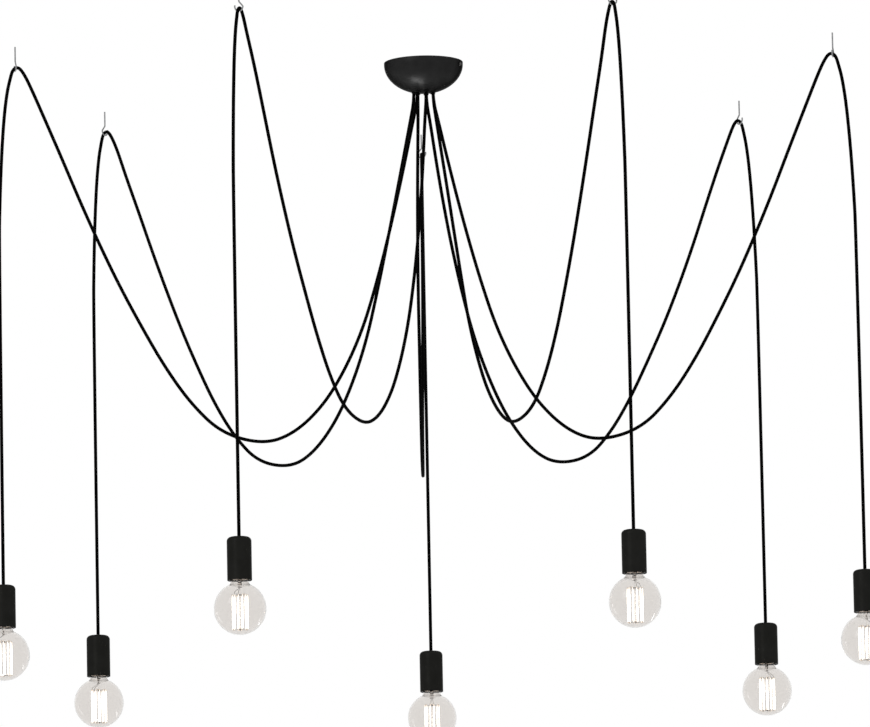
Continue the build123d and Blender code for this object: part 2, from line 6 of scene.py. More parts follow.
from math import asin, cos, pi, radians, sin, sqrt, tan, tau

import bpy
from mathutils import Matrix, Vector


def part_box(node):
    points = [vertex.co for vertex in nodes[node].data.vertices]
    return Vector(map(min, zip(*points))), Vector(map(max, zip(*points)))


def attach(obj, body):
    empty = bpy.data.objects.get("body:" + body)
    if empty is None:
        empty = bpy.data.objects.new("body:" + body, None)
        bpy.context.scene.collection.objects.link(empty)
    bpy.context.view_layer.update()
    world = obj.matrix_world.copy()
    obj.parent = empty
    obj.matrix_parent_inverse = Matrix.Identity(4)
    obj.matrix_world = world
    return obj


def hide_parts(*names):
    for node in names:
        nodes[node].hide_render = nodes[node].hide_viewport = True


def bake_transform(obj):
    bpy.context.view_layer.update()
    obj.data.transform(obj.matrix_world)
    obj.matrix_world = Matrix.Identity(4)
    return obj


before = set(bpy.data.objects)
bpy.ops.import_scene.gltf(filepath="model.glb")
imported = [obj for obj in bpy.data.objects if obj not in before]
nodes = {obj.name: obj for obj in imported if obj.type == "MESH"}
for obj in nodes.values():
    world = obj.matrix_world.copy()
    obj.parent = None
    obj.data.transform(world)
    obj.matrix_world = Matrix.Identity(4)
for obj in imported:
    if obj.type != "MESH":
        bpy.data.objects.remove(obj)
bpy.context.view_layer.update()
MM = 0.001

# Layout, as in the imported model
arm_count = 7
arm_step = tau / arm_count
hook_circle_radius = 0.785
cord_circle_radius = 0.0185
cord_hole_turn_share = -0.75
cord_radius = 0.0032
cord_sides = 16
braid_repeats = 4

# Cord route in plan from the cord's hole towards its hook, and height
rose_route = [
    (0, -0.036),
    (0, -0.070),
    (0.010, -0.112),
    (0.025, -0.181),
    (0.044, -0.263),
    (0.065, -0.347),
    (0.088, -0.430),
    (0.114, -0.512),
    (0.149, -0.591),
    (0.193, -0.664),
    (0.250, -0.721),
    (0.309, -0.742),
    (0.388, -0.7225),
    (0.446, -0.664),
    (0.4945, -0.5935),
    (0.537, -0.518),
    (0.578, -0.441),
    (0.615, -0.363),
    (0.650, -0.284),
    (0.683, -0.204),
    (0.717, -0.124),
]
# How much of its arm's own sway each of those points takes
sway_shares = [0, 0, 0.1, 0.4, 0.7, 0.9, 1, 1, 1, 1, 1, 0.9, 0.9, 0.9, 0.85, 0.7, 0.5, 0.35, 0.25, 0.2, 0.15]
# How much of its arm's own lift each of those points takes
lift_shares = [0, 0, 0, 0, 0, 0, 0, 0, 0.2, 0.5, 1, 1, 1, 0.5, 0.2, 0, 0, 0, 0, 0, 0]
# Cord route over the hook and down, out from the hook's shank, and height
hook_route = [
    (-0.031, -0.071),
    (-0.017, -0.0418),
    (-0.006, -0.0278),
    (0.005, -0.0328),
    (0.011, -0.0545),
    (0.0165, -0.078),
    (0.023, -0.127),
    (0.0288, -0.206),
    (0.0326, -0.288),
    (0.0352, -0.372),
    (0.0352, -1.0208),
]
# How far each arm's loop sways along its own line and sideways, and how much higher its bottom hangs
loop_sway = [0, -0.011, 0, 0.020, -0.020, 0, 0.012]
loop_side_sway = [-0.007, 0, 0, 0, 0, 0, 0]
loop_lift = [0, 0.002, 0.003, 0, 0.008, 0.006, 0.005]

# Camera, fitted to the photograph
camera_place = Vector((-0.17932, -19.46503, -3.80218))
camera_aim = Vector((0.00963853, 0.9864933, 0.1635178))
camera_level = Vector((0.99995227, -0.00977003, 0))
camera_roll = radians(1.118)
camera_lens = 434.335
sensor_width = 36

# Studio
floor_height = -4.4
floor_half = 60
floor_lift = 0.5
world_fill = 0.5


def turned(distance, sideways, angle, height):
    """The point at this distance along a clockwise angle from +Y, and this far to its right."""
    return Vector(
        (
            distance * sin(angle) + sideways * cos(angle),
            distance * cos(angle) - sideways * sin(angle),
            height,
        )
    )


def hook_point(arm, out, height, sideways=0):
    """A point measured outward from the arm's hook shank."""
    return turned(hook_circle_radius + out, sideways, arm * arm_step, height)


def hole_point(arm, height):
    return turned(cord_circle_radius, 0, (arm + cord_hole_turn_share) * arm_step, height)


def loop_point(arm, along, height, sway_share, lift_share):
    """A point of the loop, measured from the arm's cord hole towards its hook."""
    hole = hole_point(arm, 0)
    line = (hook_point(arm, 0, 0) - hole).normalized()
    lift = loop_lift[arm] * lift_share
    sideways = turned(0, loop_side_sway[arm] * sway_share, arm * arm_step, height + lift)
    return hole + line * (along + loop_sway[arm] * sway_share) + sideways


def cord_route(arm):
    places = zip(rose_route, sway_shares, lift_shares)
    points = [loop_point(arm, *place, sway_share, lift_share) for place, sway_share, lift_share in places]
    return points + [hook_point(arm, *place) for place in hook_route]


# Meshes
sharp_angle = radians(35)


def new_object(name, vertices, faces, smooth=True):
    mesh = bpy.data.meshes.new(name)
    mesh.from_pydata([tuple(vertex) for vertex in vertices], [], faces)
    mesh.validate()
    mesh.update()
    for polygon in mesh.polygons:
        polygon.use_smooth = smooth
    mesh.set_sharp_from_angle(angle=sharp_angle)
    piece = bpy.data.objects.new(name, mesh)
    bpy.context.scene.collection.objects.link(piece)
    return piece


def spline_points(points, steps=16):
    """Points along the smooth spline that has these control points."""
    curve = bpy.data.curves.new("route", "CURVE")
    curve.dimensions = "3D"
    curve.resolution_u = steps
    spline = curve.splines.new("NURBS")
    spline.points.add(len(points) - 1)
    for control, place in zip(spline.points, points):
        control.co = (*place, 1)
    spline.order_u = 3
    spline.use_endpoint_u = True
    bare = bpy.data.objects.new("route", curve)
    mesh = bpy.data.meshes.new_from_object(bare)
    line = [vertex.co.copy() for vertex in mesh.vertices]
    bpy.data.meshes.remove(mesh)
    bpy.data.objects.remove(bare)
    bpy.data.curves.remove(curve)
    return line


def tube(line, radius, sides=12, radii=None):
    """Vertices and faces of a closed round tube along a line of points."""
    ahead = (line[1] - line[0]).normalized()
    across = ahead.orthogonal().normalized()
    vertices = []
    for index, place in enumerate(line):
        last = index == len(line) - 1
        heading = (place - line[index - 1]) if last else (line[index + 1] - place)
        if 0 < index and not last:
            heading = heading.normalized() + (place - line[index - 1]).normalized()
        heading.normalize()
        across = ahead.rotation_difference(heading) @ across
        across = (across - heading * across.dot(heading)).normalized()
        ahead = heading
        beside = ahead.cross(across)
        size = radii[index] if radii else radius
        for side in range(sides):
            turn = tau * side / sides
            vertices.append(place + (across * cos(turn) + beside * sin(turn)) * size)
    faces = []
    for ring in range(len(line) - 1):
        for side in range(sides):
            after = (side + 1) % sides
            faces.append(
                (ring * sides + side, ring * sides + after, (ring + 1) * sides + after, (ring + 1) * sides + side)
            )
    faces.append(tuple(reversed(range(sides))))
    faces.append(tuple((len(line) - 1) * sides + side for side in range(sides)))
    return vertices, faces


def joined(shapes):
    """Several sets of vertices and faces as one."""
    vertices = []
    faces = []
    for more_vertices, more_faces in shapes:
        start = len(vertices)
        vertices += more_vertices
        faces += [tuple(start + corner for corner in face) for face in more_faces]
    return vertices, faces


def lathe(outline, centre, sides=96):
    """Vertices and faces, facing outward, of a closed outline of (radius, height) turned about an upright axis."""
    twice_area = sum(one[0] * two[1] - two[0] * one[1] for one, two in zip(outline, outline[1:] + outline[:1]))
    if twice_area < 0:
        outline = outline[::-1]
    vertices = []
    rings = []
    for radius, height in outline:
        if radius < 1e-7:
            rings.append([len(vertices)] * sides)
            vertices.append(Vector((centre.x, centre.y, height)))
            continue
        rings.append(list(range(len(vertices), len(vertices) + sides)))
        for side in range(sides):
            turn = tau * side / sides
            vertices.append(Vector((centre.x + radius * cos(turn), centre.y + radius * sin(turn), height)))
    faces = []
    for one, two in zip(rings, rings[1:] + rings[:1]):
        for side in range(sides):
            after = (side + 1) % sides
            corners = []
            for corner in (one[side], one[after], two[after], two[side]):
                if corner not in corners:
                    corners.append(corner)
            if len(corners) > 2:
                faces.append(tuple(corners))
    return vertices, faces


def arc(centre, radius, first, last, steps):
    """Points of an arc in the (radius, height) plane, angles in radians from the outward direction."""
    return [
        (
            centre[0] + radius * cos(first + (last - first) * step / steps),
            centre[1] + radius * sin(first + (last - first) * step / steps),
        )
        for step in range(steps + 1)
    ]


# Materials


def shader(name, color, roughness, metallic=0.0, **sockets):
    """A material and its main shader, with constant values on the shader's own sockets."""
    made = bpy.data.materials.new(name)
    made.use_nodes = True
    main = made.node_tree.nodes["Principled BSDF"]
    main.inputs["Base Color"].default_value = (*color, 1)
    main.inputs["Roughness"].default_value = roughness
    main.inputs["Metallic"].default_value = metallic
    for socket, value in sockets.items():
        main.inputs[socket.replace("_", " ")].default_value = value
    return made


def noise(made, scale, detail=4.0, stretch=(1, 1, 1)):
    """A noise texture in object space."""
    tree = made.node_tree
    place = tree.nodes.new("ShaderNodeTexCoord")
    sizing = tree.nodes.new("ShaderNodeMapping")
    sizing.inputs["Scale"].default_value = stretch
    texture = tree.nodes.new("ShaderNodeTexNoise")
    texture.inputs["Scale"].default_value = scale
    texture.inputs["Detail"].default_value = detail
    tree.links.new(place.outputs["Object"], sizing.inputs["Vector"])
    tree.links.new(sizing.outputs["Vector"], texture.inputs["Vector"])
    return texture.outputs["Fac"]


def vary_color(made, source, low, high, spread=(0.35, 0.65)):
    """Colour between two values by a texture."""
    tree = made.node_tree
    ramp = tree.nodes.new("ShaderNodeValToRGB")
    ramp.color_ramp.elements[0].position = spread[0]
    ramp.color_ramp.elements[1].position = spread[1]
    ramp.color_ramp.elements[0].color = (*low, 1)
    ramp.color_ramp.elements[1].color = (*high, 1)
    tree.links.new(source, ramp.inputs["Fac"])
    tree.links.new(ramp.outputs["Color"], tree.nodes["Principled BSDF"].inputs["Base Color"])


def vary_roughness(made, source, low, high):
    """Roughness between two values by a texture."""
    tree = made.node_tree
    scaled = tree.nodes.new("ShaderNodeMapRange")
    scaled.inputs["From Min"].default_value = 0.3
    scaled.inputs["From Max"].default_value = 0.7
    scaled.inputs["To Min"].default_value = low
    scaled.inputs["To Max"].default_value = high
    tree.links.new(source, scaled.inputs["Value"])
    tree.links.new(scaled.outputs["Result"], tree.nodes["Principled BSDF"].inputs["Roughness"])


def bump(made, source, height, strength=1.0):
    """Surface relief of this height, in metres, by a texture."""
    tree = made.node_tree
    relief = tree.nodes.new("ShaderNodeBump")
    relief.inputs["Strength"].default_value = strength
    relief.inputs["Distance"].default_value = height
    tree.links.new(source, relief.inputs["Height"])
    tree.links.new(relief.outputs["Normal"], tree.nodes["Principled BSDF"].inputs["Normal"])


def painted(name, low, high, rough_low, rough_high, edge_gloss):
    """Black powder coat: fine orange peel, slightly uneven gloss that stays low towards the edges."""
    edge = (edge_gloss, edge_gloss, edge_gloss, 1)
    made = shader(name, low, rough_low, 0.5, Specular_IOR_Level=0.0, Specular_Tint=edge)
    vary_color(made, noise(made, 60), low, high)
    vary_roughness(made, noise(made, 25), rough_low, rough_high)
    bump(made, noise(made, 1800, 2.0), 0.00004)
    return made


def plated(name, low, high, rough_low, rough_high, scale):
    """Plated metal: cloudy tone, fine scratches."""
    made = shader(name, low, rough_low, 1.0)
    vary_color(made, noise(made, scale), low, high)
    vary_roughness(made, noise(made, scale * 3), rough_low, rough_high)
    bump(made, noise(made, 900, 2.0, (1, 1, 0.1)), 0.00002)
    return made


def moulded(name, low, high, roughness, specular=0.4):
    """Moulded plastic: faint flow marks and a fine grain."""
    made = shader(name, low, roughness, Specular_IOR_Level=specular)
    vary_color(made, noise(made, 90), low, high)
    vary_roughness(made, noise(made, 150), roughness * 0.85, roughness * 1.15)
    bump(made, noise(made, 2500, 2.0), 0.00002)
    return made


rose_black = painted("rose_black", (0.022, 0.022, 0.022), (0.026, 0.026, 0.026), 0.3, 0.36, 0.33)
holder_black = painted("holder_black", (0.016, 0.016, 0.0145), (0.019, 0.019, 0.0175), 0.31, 0.36, 0.56)
bracket_zinc = plated("bracket_zinc", (0.42, 0.43, 0.45), (0.62, 0.62, 0.6), 0.28, 0.5, 120)
hook_zinc = plated("hook_zinc", (0.2, 0.205, 0.21), (0.3, 0.3, 0.3), 0.35, 0.5, 400)
screw_nickel = plated("screw_nickel", (0.04, 0.04, 0.038), (0.07, 0.068, 0.064), 0.35, 0.5, 500)
grip_nylon = moulded("grip_nylon", (0.003, 0.003, 0.003), (0.005, 0.005, 0.005), 0.6, 0.08)
terminal_plastic = moulded("terminal_plastic", (0.6, 0.57, 0.48), (0.72, 0.69, 0.6), 0.45)
brass = plated("brass", (0.62, 0.44, 0.17), (0.76, 0.58, 0.28), 0.22, 0.4, 200)
live_brown = moulded("live_brown", (0.1, 0.035, 0.014), (0.14, 0.05, 0.02), 0.35)
neutral_blue = moulded("neutral_blue", (0.01, 0.06, 0.34), (0.016, 0.09, 0.45), 0.35)
insert_black = moulded("insert_black", (0.012, 0.012, 0.012), (0.018, 0.018, 0.018), 0.35)
cap_metal = plated("cap_metal", (0.56, 0.54, 0.5), (0.72, 0.7, 0.66), 0.18, 0.34, 300)
cap_insulator = moulded("cap_insulator", (0.008, 0.008, 0.01), (0.014, 0.013, 0.016), 0.12)
solder = plated("solder", (0.5, 0.5, 0.5), (0.62, 0.62, 0.62), 0.25, 0.5, 700)
mica = moulded("mica", (0.46, 0.38, 0.31), (0.58, 0.49, 0.41), 0.35)
support_wire = plated("support_wire", (0.2, 0.19, 0.18), (0.3, 0.28, 0.27), 0.35, 0.5, 900)


def sheath_material():
    """Black woven sleeve: two sets of crossed strands, read along and round the cord."""
    made = shader("cord_black", (0.001, 0.001, 0.001), 0.8, Specular_IOR_Level=0.02)
    tree = made.node_tree
    place = tree.nodes.new("ShaderNodeUVMap")
    place.uv_map = "along"
    heights = []
    for slant in (1, -1):
        turned_place = tree.nodes.new("ShaderNodeMapping")
        turned_place.inputs["Rotation"].default_value = (0, 0, slant * pi / 4)
        bands = tree.nodes.new("ShaderNodeTexWave")
        bands.inputs["Scale"].default_value = 2.5
        tree.links.new(place.outputs["UV"], turned_place.inputs["Vector"])
        tree.links.new(turned_place.outputs["Vector"], bands.inputs["Vector"])
        heights.append(bands.outputs["Fac"])
    both = tree.nodes.new("ShaderNodeMath")
    both.operation = "MAXIMUM"
    tree.links.new(heights[0], both.inputs[0])
    tree.links.new(heights[1], both.inputs[1])
    vary_color(made, both.outputs["Value"], (0.0008, 0.0008, 0.0008), (0.0014, 0.0014, 0.0014), (0.2, 0.9))
    bump(made, both.outputs["Value"], 0.00003)
    return made


def glass(name, color, roughness=0.0):
    made = shader(name, color, roughness, Transmission_Weight=1.0, IOR=1.45)
    bump(made, noise(made, 40, 1.0), 0.00005, 0.3)
    return made


def glow_material():
    """Filament wire at a warm white heat, cooler at both ends where its supports carry the heat away."""
    made = shader("filament", (0.5, 0.38, 0.26), 0.5, Emission_Strength=glow_strength)
    tree = made.node_tree
    place = tree.nodes.new("ShaderNodeUVMap")
    place.uv_map = "heat"
    parts = tree.nodes.new("ShaderNodeSeparateXYZ")
    ramp = tree.nodes.new("ShaderNodeValToRGB")
    ramp.color_ramp.elements[0].color = cool_glow
    ramp.color_ramp.elements[1].color = cool_glow
    for position, color in ((0.03, warm_glow), (0.25, full_glow), (0.75, full_glow), (0.92, warm_glow)):
        ramp.color_ramp.elements.new(position).color = color
    tree.links.new(place.outputs["UV"], parts.inputs["Vector"])
    tree.links.new(parts.outputs["Y"], ramp.inputs["Fac"])
    tree.links.new(ramp.outputs["Color"], tree.nodes["Principled BSDF"].inputs["Emission Color"])
    bump(made, noise(made, 3000, 1.0, (1, 1, 4)), 0.0001)
    made.cycles.emission_sampling = "NONE"
    return made


glow_strength = 6.0
cool_glow = (0.1, 0.085, 0.07, 1)
warm_glow = (0.7, 0.62, 0.54, 1)
full_glow = (1.0, 0.93, 0.8, 1)
cord_black = sheath_material()
clear_glass = glass("clear_glass", (0.84, 0.82, 0.8))
stem_glass = glass("stem_glass", (0.93, 0.91, 0.9))
filament_glow = glow_material()


def paint(piece, *materials):
    piece.data.materials.clear()
    for made in materials:
        piece.data.materials.append(made)


def finished(piece, body, made, replaced=()):
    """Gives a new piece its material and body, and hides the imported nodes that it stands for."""
    paint(piece, made)
    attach(piece, body)
    if replaced:
        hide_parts(*replaced)
    return piece


# Camera


def make_camera():
    upward = camera_level.cross(camera_aim).normalized()
    right = camera_level * cos(camera_roll) - upward * sin(camera_roll)
    top = camera_level * sin(camera_roll) + upward * cos(camera_roll)
    data = bpy.data.cameras.new("camera")
    data.lens = camera_lens
    data.sensor_width = sensor_width
    data.clip_end = 200
    camera = bpy.data.objects.new("camera", data)
    bpy.context.scene.collection.objects.link(camera)
    turn = Matrix((right, top, -camera_aim)).transposed()
    camera.matrix_world = Matrix.Translation(camera_place) @ turn.to_4x4()
    bpy.context.scene.camera = camera


make_camera()


# Cords


def cord(arm):
    """One cord from its grip in the rose to its lampholder."""
    number = arm + 1
    line = spline_points(cord_route(arm))
    sides = cord_sides
    vertices, faces = tube(line, cord_radius, sides)
    piece = new_object(f"cord_{number}", vertices, faces)
    travel = [0]
    for before, after in zip(line, line[1:]):
        travel.append(travel[-1] + (after - before).length)
    layer = piece.data.uv_layers.new(name="along")
    for polygon in piece.data.polygons:
        for loop in polygon.loop_indices:
            ring, side = divmod(piece.data.loops[loop].vertex_index, sides)
            around = 1 if side == 0 and polygon.index % sides == sides - 1 else side / sides
            along = travel[ring] / (cord_radius * tau)
            layer.data[loop].uv = (around * braid_repeats, along * braid_repeats)
    paint(piece, cord_black)
    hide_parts(f"cord_loop_{number}", f"cord_drop_{number}")
    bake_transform(piece)


for arm in range(arm_count):
    cord(arm)


# Bulbs
globe_radius = 0.0475
globe_below_mouth = 0.051
glass_wall = 0.001
neck_radius = 0.0168
neck_fillet = 0.008
neck_shoulder = 0.0055
joint_above_mouth = 0.014
glass_seat_height = 0.004
seat_radius = 0.01195


def mouth_height(number):
    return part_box(f"holder_cover_{number}")[0].z


def lamp_centre(number):
    low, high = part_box(f"holder_cover_{number}")
    return Vector(((low.x + high.x) / 2, (low.y + high.y) / 2, 0))


def glass_outline(mouth, inset):
    """The bulb's surface from the top of its neck down to the pole, moved in by the inset."""
    centre = mouth - globe_below_mouth
    joint = mouth + joint_above_mouth
    globe = globe_radius - inset
    neck = neck_radius - inset
    fillet = neck_fillet + inset
    arc_reach = neck + fillet
    arc_height = centre + sqrt((globe + fillet) ** 2 - arc_reach**2)
    touch = asin(arc_reach / (globe + fillet))
    seat = seat_radius - inset
    outline = [(seat, joint + glass_seat_height), (seat, joint - inset)]
    outline += [(neck - MM, joint - neck_shoulder + MM), (neck, joint - neck_shoulder)]
    outline += arc((arc_reach, arc_height), fillet, pi, pi + pi / 2 - touch, 12)
    outline += arc((0, centre), globe, pi / 2 - touch, -pi / 2, 64)[1:]
    outline[-1] = (0, outline[-1][1])
    return outline


def bulb_glass(number):
    mouth = mouth_height(number)
    outer = glass_outline(mouth, 0)
    inner = glass_outline(mouth, glass_wall)
    centre = lamp_centre(number)
    vertices, faces = lathe(outer + inner[::-1], centre)
    piece = new_object(f"bulb_glass_{number}_clear", vertices, faces)
    finished(piece, f"globe_{number}", clear_glass, [f"bulb_glass_{number}"])


def bent(corners, radius, steps=6):
    """A stiff wire's line through these corners, each bent to this radius."""
    line = [corners[0]]
    for before, corner, after in zip(corners, corners[1:], corners[2:]):
        back = (before - corner).normalized()
        on = (after - corner).normalized()
        half_turn = (pi - back.angle(on)) / 2
        reach = min(radius * tan(half_turn), 0.49 * (before - corner).length, 0.49 * (after - corner).length)
        start = corner + back * reach
        end = corner + on * reach
        for step in range(steps + 1):
            share = step / steps
            line.append(start.lerp(corner, share).lerp(corner.lerp(end, share), share))
    line.append(corners[-1])
    return line


# Bulb cap
cap_shell_length = 0.024
cap_root_radius = 0.0125
cap_crest_radius = 0.01315
cap_wall = 0.00045
cap_skirt_radius = 0.013
cap_skirt_height = 0.003
thread_pitch = 0.00354
thread_turns = 5
insulator_height = 0.0025
insulator_top_radius = 0.005
insulator_edge = 0.0006
button_radius = 0.0045
button_height = 0.0015


def threaded_shell(centre, bottom, height, root, crest, wall, first, turns, sides=72, rings=96):
    """A thin rolled shell with a right-handed thread between two heights, outside and inside."""
    vertices = []
    faces = []
    for layer in (0, wall):
        for ring in range(rings + 1):
            above = height * ring / rings
            for side in range(sides):
                turn = tau * side / sides
                phase = (above - first) / thread_pitch - side / sides
                fade = max(0, min(1, phase + 0.5, turns - phase - 0.5))
                ridge = (0.5 + 0.5 * cos(tau * phase)) * fade
                radius = root + (crest - root) * ridge - layer
                vertices.append(Vector((centre.x + radius * cos(turn), centre.y + radius * sin(turn), bottom + above)))
    count = (rings + 1) * sides
    for ring in range(rings):
        for side in range(sides):
            after = (side + 1) % sides
            one, two = ring * sides + side, ring * sides + after
            three, four = two + sides, one + sides
            faces.append((one, two, three, four))
            faces.append((count + four, count + three, count + two, count + one))
    for side in range(sides):
        after = (side + 1) % sides
        top = rings * sides
        faces.append((count + side, count + after, after, side))
        faces.append((top + side, top + after, count + top + after, count + top + side))
    return vertices, faces


def bulb_cap(number):
    """The threaded shell with its skirt, the dark insulator above it and the soldered centre button."""
    centre = lamp_centre(number)
    joint = mouth_height(number) + joint_above_mouth
    shell_top = joint + cap_shell_length
    insulator_top = shell_top + insulator_height
    skirt = [
        (cap_skirt_radius, joint),
        (cap_skirt_radius, joint + cap_skirt_height),
        (cap_root_radius - cap_wall, joint + cap_skirt_height),
        (cap_root_radius - cap_wall, joint),
    ]
    shell = threaded_shell(
        centre,
        joint + cap_skirt_height,
        cap_shell_length - cap_skirt_height,
        cap_root_radius,
        cap_crest_radius,
        cap_wall,
        thread_pitch,
        thread_turns,
    )
    vertices, faces = joined([lathe(skirt, centre), shell])
    metal = new_object(f"bulb_cap_{number}_shell", vertices, faces)
    finished(metal, f"globe_{number}", cap_metal, [f"bulb_cap_{number}"])
    edge = insulator_edge
    cone = [
        (0, shell_top - edge),
        (cap_root_radius - cap_wall, shell_top - edge),
        (cap_root_radius, shell_top),
        (cap_root_radius - edge, shell_top + edge),
        (insulator_top_radius + edge, insulator_top - edge),
        (insulator_top_radius, insulator_top),
        (0, insulator_top),
    ]
    vertices, faces = lathe(cone, centre, 64)
    insulator = new_object(f"bulb_cap_{number}_insulator", vertices, faces)
    finished(insulator, f"globe_{number}", cap_insulator)
    dome = [(0, insulator_top), (button_radius, insulator_top)]
    dome += arc((button_radius - button_height, insulator_top), button_height, 0, pi / 2, 8)
    dome += [(0, insulator_top + button_height)]
    vertices, faces = lathe(dome, centre, 48)
    button = new_object(f"bulb_cap_{number}_button", vertices, faces)
    finished(button, f"globe_{number}", solder)


# Bulb mount: the glass stem, its wires and the filament
stem_flare_radius = 0.0107
stem_waist_radius = 0.0036
stem_waist_drop = 0.016
press_drop = 0.027
press_half_width = 0.0042
press_half_depth = 0.0018
press_end_round = 0.0006
rod_radius = 0.0006
bead_share = 1.35
stem_wall = 0.0009
# Shares of the flare's and the press's height where their rings lie, from the top and from the bottom
flare_shares = (0.15, 0.3, 0.45, 0.6, 0.8, 1)
press_shares = (1, 0.95, 0.75, 0.5, 0.25, 0.1, 0)
shield_radius = 0.0148
shield_hole_radius = 0.0046
shield_thickness = 0.0003
shield_lift = 0.0022
hub_radius = 0.0018
hub_height = 0.002
support_radius = 0.0003
lead_radius = 0.0004
lead_reach = 0.0022
lead_stub = 0.002
lead_drop = 0.005
filament_radius = 0.0004
cage_radius = 0.0142
filament_top_drop = 0.0262
filament_bottom_drop = 0.089
strand_count = 12
hairpin_bend = 0.0018


def stem(number):
    """A flared tube, pressed flat round the leads, and the rod that goes on down from it."""
    centre = lamp_centre(number)
    joint = mouth_height(number) + joint_above_mouth
    waist = joint - stem_waist_drop
    press = joint - press_drop
    flare = [(stem_flare_radius, joint + stem_wall), (stem_flare_radius, joint)]
    for share in flare_shares:
        radius = stem_waist_radius + (stem_flare_radius - stem_waist_radius) * (1 - share) ** 3
        flare.append((radius, joint + (waist - joint) * share))
    inner = [(radius - stem_wall, height) for radius, height in flare[1:]][::-1]
    tube_wall = lathe(flare + inner, centre, 48)
    sides = 32
    rings = []
    for share in press_shares:
        flat = min(1, share * 2)
        width = stem_waist_radius + (press_half_width - stem_waist_radius) * flat
        depth = stem_waist_radius + (press_half_depth - stem_waist_radius) * flat
        width -= press_end_round if share == 1 else 0
        depth -= press_end_round if share == 1 else 0
        rings.append((width, depth, waist + (press - waist) * share))
    angle = (number - 1) * arm_step
    vertices = []
    for width, depth, height in rings:
        for side in range(sides):
            turn = tau * side / sides
            vertices.append(centre + turned(depth * sin(turn), width * cos(turn), angle, height))
    faces = []
    for ring in range(len(rings) - 1):
        for side in range(sides):
            after = (side + 1) % sides
            faces.append(
                (ring * sides + side, ring * sides + after, (ring + 1) * sides + after, (ring + 1) * sides + side)
            )
    faces.append(tuple(reversed(range(sides))))
    faces.append(tuple((len(rings) - 1) * sides + side for side in range(sides)))
    bottom = mouth_height(number) - filament_bottom_drop - hub_height
    bead = rod_radius * bead_share
    rod = [(0, press + MM), (rod_radius, press + MM), (rod_radius, bottom + bead)]
    rod += arc((0, bottom + bead), bead, pi / 6, -pi / 2, 8)
    vertices, faces = joined([tube_wall, (vertices, faces), lathe(rod, centre, 24)])
    piece = new_object(f"bulb_stem_{number}", vertices, faces)
    finished(piece, f"globe_{number}", stem_glass)


def heat_shield(number):
    """A thin mica disc across the neck, round the stem."""
    bottom = mouth_height(number) + shield_lift
    top = bottom + shield_thickness
    ring = [(shield_hole_radius, bottom), (shield_radius, bottom), (shield_radius, top), (shield_hole_radius, top)]
    vertices, faces = lathe(ring, lamp_centre(number), 64)
    piece = new_object(f"heat_shield_{number}", vertices, faces)
    finished(piece, f"globe_{number}", mica)


def strand_point(number, strand, height):
    angle = (number - 1) * arm_step + (strand + 0.5) * tau / strand_count
    return lamp_centre(number) + turned(cage_radius, 0, angle, mouth_height(number) + height)


def filament(number):
    """One long wire, up and down round the cage, joined in turn below and above."""
    corners = []
    for strand in range(strand_count):
        ends = (-filament_top_drop, -filament_bottom_drop)
        order = ends if strand % 2 == 0 else ends[::-1]
        corners += [strand_point(number, strand, height) for height in order]
    vertices, faces = tube(bent(corners, hairpin_bend), filament_radius, 10)
    piece = new_object(f"filament_{number}", vertices, faces)
    bottom = mouth_height(number) - filament_bottom_drop
    heat = piece.data.uv_layers.new(name="heat")
    for loop in piece.data.loops:
        height = vertices[loop.vertex_index].z - bottom
        heat.data[loop.index].uv = (0.5, height / (filament_bottom_drop - filament_top_drop))
    finished(piece, f"globe_{number}", filament_glow, [f"bulb_mount_{number}"])


def supports(number):
    """Two hubs of wires, each ending in a small hook round one hairpin, and the two leads."""
    centre = lamp_centre(number)
    mouth = mouth_height(number)
    wires = strand_count // 2
    shapes = []
    for height, first, rise in ((-filament_top_drop, 0, 1), (-filament_bottom_drop, tau / strand_count, -1)):
        middle = mouth + height
        hub = [(0, middle - hub_height / 2), (hub_radius, middle - hub_height / 2)]
        hub += [(hub_radius, middle + hub_height / 2), (0, middle + hub_height / 2)]
        shapes.append(lathe(hub, centre, 24))
        for wire in range(wires):
            angle = (number - 1) * arm_step + first + wire * tau / wires
            reach = cage_radius * cos(pi / strand_count)
            gap = filament_radius + support_radius
            corners = [
                (hub_radius * 0.5, 0),
                (reach - 3 * gap, 0),
                (reach - gap * 0.4, -rise * gap),
                (reach + gap, -rise * gap),
                (reach + gap * 1.1, rise * gap),
                (reach - gap, rise * gap * 1.4),
            ]
            line = bent([centre + turned(out, 0, angle, middle + up) for out, up in corners], gap, 4)
            shapes.append(tube(line, support_radius, 8))
    press = mouth + joint_above_mouth - press_drop
    top = mouth - filament_top_drop
    for side in (-1, 1):
        lead_angle = (number - 1) * arm_step + side * tau / strand_count / 2
        beside = side * lead_reach / 2
        corners = [
            centre + turned(lead_reach, beside, (number - 1) * arm_step, press + 2 * lead_stub),
            centre + turned(lead_reach, beside, (number - 1) * arm_step, press - lead_stub),
            centre + turned(cage_radius, 0, lead_angle, top + lead_drop),
            centre + turned(cage_radius, 0, lead_angle, top),
        ]
        shapes.append(tube(bent(corners, lead_stub), lead_radius, 8))
    vertices, faces = joined(shapes)
    piece = new_object(f"filament_supports_{number}", vertices, faces)
    finished(piece, f"globe_{number}", support_wire)


for number in range(1, arm_count + 1):
    bulb_glass(number)
    bulb_cap(number)
    stem(number)
    heat_shield(number)
    filament(number)
    supports(number)

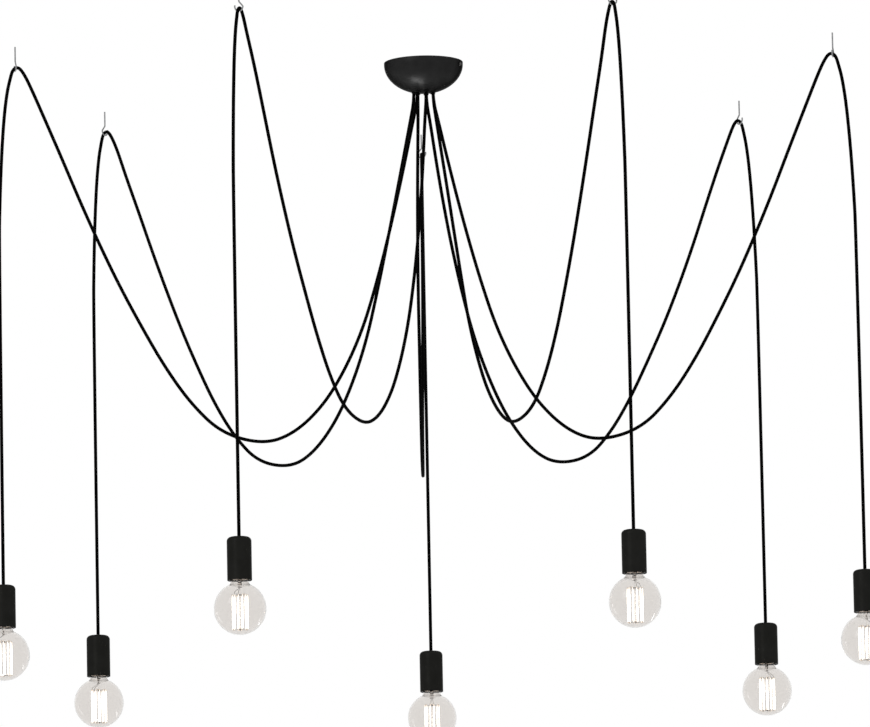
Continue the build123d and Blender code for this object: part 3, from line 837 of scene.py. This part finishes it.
slot_materials = {
    "rose_cover": rose_black,
    "ceiling_bracket": bracket_zinc,
    "rose_screws": screw_nickel,
    "cord_grips": grip_nylon,
    "grip_nuts": grip_nylon,
    "terminal_body": terminal_plastic,
    "terminal_bars": brass,
    "terminal_screws": brass,
    "live_cores": live_brown,
    "neutral_cores": neutral_blue,
    "ceiling_hooks": hook_zinc,
    "holder_cover": holder_black,
    "lampholder": insert_black,
    "bulb_cap": cap_metal,
    "bulb_glass": clear_glass,
    "bulb_mount": filament_glow,
    "cord_loop": cord_black,
    "cord_drop": cord_black,
}
for name, node in nodes.items():
    paint(node, slot_materials[name.rstrip("0123456789").rstrip("_")])


# Studio


def seen_by_eye(tree):
    """1 where the camera looks, straight or by way of a mirror or glass, and 0 for all other light."""
    light_path = tree.nodes.new("ShaderNodeLightPath")
    either = light_path.outputs["Is Camera Ray"]
    for ray in ("Is Glossy Ray", "Is Transmission Ray"):
        largest = tree.nodes.new("ShaderNodeMath")
        largest.operation = "MAXIMUM"
        tree.links.new(either, largest.inputs[0])
        tree.links.new(light_path.outputs[ray], largest.inputs[1])
        either = largest.outputs["Value"]
    return either


def make_background():
    """White where the camera, mirrors and glass look, and a plain fill on everything else."""
    world = bpy.data.worlds.new("studio")
    bpy.context.scene.world = world
    world.use_nodes = True
    tree = world.node_tree
    tree.nodes.clear()
    output = tree.nodes.new("ShaderNodeOutputWorld")
    seen = tree.nodes.new("ShaderNodeBackground")
    fill = tree.nodes.new("ShaderNodeBackground")
    fill.inputs["Strength"].default_value = world_fill
    mixed = tree.nodes.new("ShaderNodeMixShader")
    seen.inputs["Color"].default_value = (1, 1, 1, 1)
    fill.inputs["Color"].default_value = (1, 1, 1, 1)
    tree.links.new(seen_by_eye(tree), mixed.inputs["Fac"])
    tree.links.new(fill.outputs["Background"], mixed.inputs[1])
    tree.links.new(seen.outputs["Background"], mixed.inputs[2])
    tree.links.new(mixed.outputs["Shader"], output.inputs["Surface"])


def make_floor():
    """A floor that keeps the object's shadow and reaches white where the camera, mirrors and glass look."""
    corners = [(x * floor_half, y * floor_half, floor_height) for x, y in ((-1, -1), (1, -1), (1, 1), (-1, 1))]
    floor = new_object("studio_floor", corners, [(0, 1, 2, 3)], smooth=False)
    made = shader("floor_white", (0.88, 0.88, 0.88), 0.9, Specular_IOR_Level=0.0, Emission_Color=(1, 1, 1, 1))
    tree = made.node_tree
    lift = tree.nodes.new("ShaderNodeMath")
    lift.operation = "MULTIPLY"
    lift.inputs[1].default_value = floor_lift
    tree.links.new(seen_by_eye(tree), lift.inputs[0])
    tree.links.new(lift.outputs["Value"], tree.nodes["Principled BSDF"].inputs["Emission Strength"])
    bump(made, noise(made, 30), 0.001, 0.2)
    paint(floor, made)


def area_light(name, place, target, width, height, radiance, spread=pi):
    """A soft box of a given brightness and spread, out of the camera's sight."""
    data = bpy.data.lights.new(name, "AREA")
    data.shape = "RECTANGLE"
    data.size = width
    data.size_y = height
    data.spread = spread
    data.energy = radiance * width * height * pi
    lamp = bpy.data.objects.new(name, data)
    bpy.context.scene.collection.objects.link(lamp)
    lamp.location = place
    lamp.rotation_mode = "QUATERNION"
    lamp.rotation_quaternion = (Vector(target) - Vector(place)).to_track_quat("-Z", "Y")
    lamp.visible_camera = False
    lamp.visible_transmission = False


make_background()
make_floor()
area_light("under_box", (-0.5, 0.55, -2.6), (0, -0.05, -0.04), 1.3, 0.6, 1.1, radians(35))
area_light("front_box", (-3.5, -4.5, 1.2), (0, 0, -0.6), 2.5, 2.5, 1.8)
area_light("right_strip", (3.57, 2.98, -3.43), (0, 0, -1.14), 2.2, 0.45, 4.0)
area_light("left_strip", (-4.33, 2.17, -2.4), (0, 0, -1.14), 0.4, 2.5, 2.5)

bpy.context.scene.view_settings.view_transform = "Standard"
